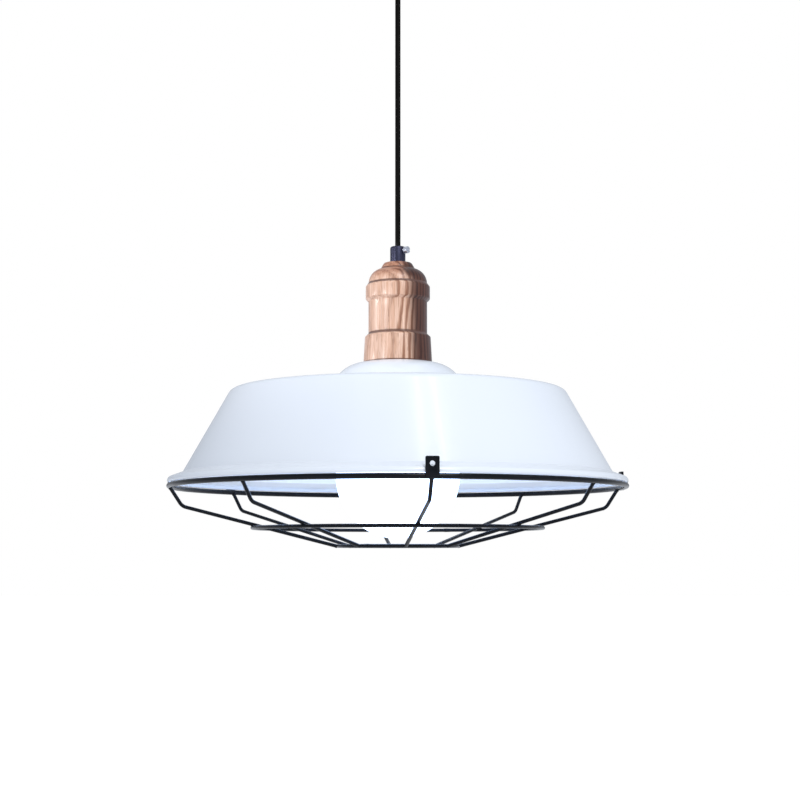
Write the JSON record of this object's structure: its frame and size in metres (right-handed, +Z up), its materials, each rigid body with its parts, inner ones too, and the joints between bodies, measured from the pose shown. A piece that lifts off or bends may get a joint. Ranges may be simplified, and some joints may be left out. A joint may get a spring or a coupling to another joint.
{
  "type": "pendant light",
  "caption": "Pendant ceiling light with a turned wood lampholder cover, a wide white enamelled shade, an opal globe bulb and a black wire guard, hung on a cord from a round canopy.",
  "frame": {"origin": "middle of the ceiling bracket's top face, between its two slots", "axes": "+Z up into the ceiling, +X along the bracket's bar, -Y towards the front"},
  "size_m": [0.3513, 0.3513, 0.4842],
  "materials": {
    "zinc_steel": "bright zinc plate",
    "black_paint": "satin black powder coat",
    "black_steel": "blackened steel",
    "white_nylon": "moulded nylon",
    "brass": "turned brass",
    "black_nickel": "polished black nickel plate",
    "bright_nickel": "bright nickel plate",
    "cord_black": "smooth black round cord",
    "lead_brown": "insulated lead",
    "lead_blue": "insulated lead",
    "black_rubber": "soft rubber",
    "ash_wood": "turned ash, satin lacquer",
    "black_phenolic": "moulded phenolic",
    "white_enamel": "gloss vitreous enamel",
    "opal_glass": "opal white glass, lit",
    "white_plastic": "moulded plastic",
    "led_yellow": "LED carrier",
    "bulb_nickel": "nickel-plated shell",
    "black_glass": "black insulator",
    "bulb_solder": "solder",
    "guard_black": "gloss black lacquer on wire"
  },
  "bodies": {
    "ceiling_mount": {"ceiling_bracket": "zinc_steel", "canopy": "black_paint", "canopy_screws": "black_steel", "terminal_block": "white_nylon", "terminal_screws": "brass", "block_screw": "zinc_steel", "canopy_grip": "black_nickel", "canopy_grip_nut": "zinc_steel", "canopy_grip_screw": "bright_nickel", "cord_tail": "cord_black", "canopy_live_lead": "lead_brown", "canopy_neutral_lead": "lead_blue"},
    "bush": {"cord_bush": "black_rubber"},
    "hanging_cord": {"cord": "cord_black"},
    "lamp": {"lamp_grip": "black_nickel", "lamp_grip_screw": "bright_nickel", "threaded_tube": "zinc_steel", "wood_cover": "ash_wood", "tube_washer": "zinc_steel", "tube_nut": "zinc_steel", "cord_end": "cord_black", "lamp_live_lead": "lead_brown", "lamp_neutral_lead": "lead_blue", "lampholder_cap": "black_phenolic", "lampholder_body": "black_phenolic", "socket_shell": "brass", "centre_contact": "brass", "side_contact": "brass", "holder_screws": "zinc_steel", "shade": "white_enamel", "shade_ring": "black_phenolic"},
    "bulb_foot": {"bulb_tip": "bulb_solder"},
    "bulb": {"bulb_globe": "opal_glass", "bulb_neck": "white_plastic", "bulb_led_post": "led_yellow", "bulb_cap": "bulb_nickel", "bulb_insulator": "black_glass"},
    "guard": {"guard_top_ring": "guard_black", "guard_mid_ring": "guard_black", "guard_bottom_ring": "guard_black", "guard_rib_1": "guard_black", "guard_rib_2": "guard_black", "guard_rib_3": "guard_black", "guard_rib_4": "guard_black", "guard_rib_5": "guard_black", "guard_rib_6": "guard_black", "guard_rib_7": "guard_black", "guard_rib_8": "guard_black", "guard_tab_1": "guard_black", "guard_tab_2": "guard_black", "guard_tab_3": "guard_black"}
  },
  "joints": [
    {"name": "swing_side", "type": "hinge", "parent": "ceiling_mount", "child": "bush", "pos_m": [0, 0, -0.0365], "axis": [0, 1, 0], "range_deg": [-15, 15]},
    {"name": "swing_fore", "type": "hinge", "parent": "bush", "child": "hanging_cord", "pos_m": [0, 0, -0.0365], "axis": [1, 0, 0], "range_deg": [-15, 15]},
    {"name": "cord_twist", "type": "hinge", "parent": "hanging_cord", "child": "lamp", "pos_m": [0, 0, -0.251], "axis": [0, 0, 1], "range_deg": [-180, 180]},
    {"name": "bulb_feed", "type": "slide", "parent": "lamp", "child": "bulb_foot", "axis": [0, 0, -1], "range_m": [0, 0.0218]},
    {"name": "bulb_turn", "type": "hinge", "parent": "bulb_foot", "child": "bulb", "pos_m": [0, 0, -0.3524], "axis": [0, 0, -1], "range_deg": [0, 2160]},
    {"name": "guard_drop", "type": "slide", "parent": "lamp", "child": "guard", "axis": [0, 0, -1], "range_m": [0, 0.06]}
  ],
  "couplings": [
    {"joint": "bulb_feed", "follows": "bulb_turn", "m_per_rad": 0.00057296}
  ]
}
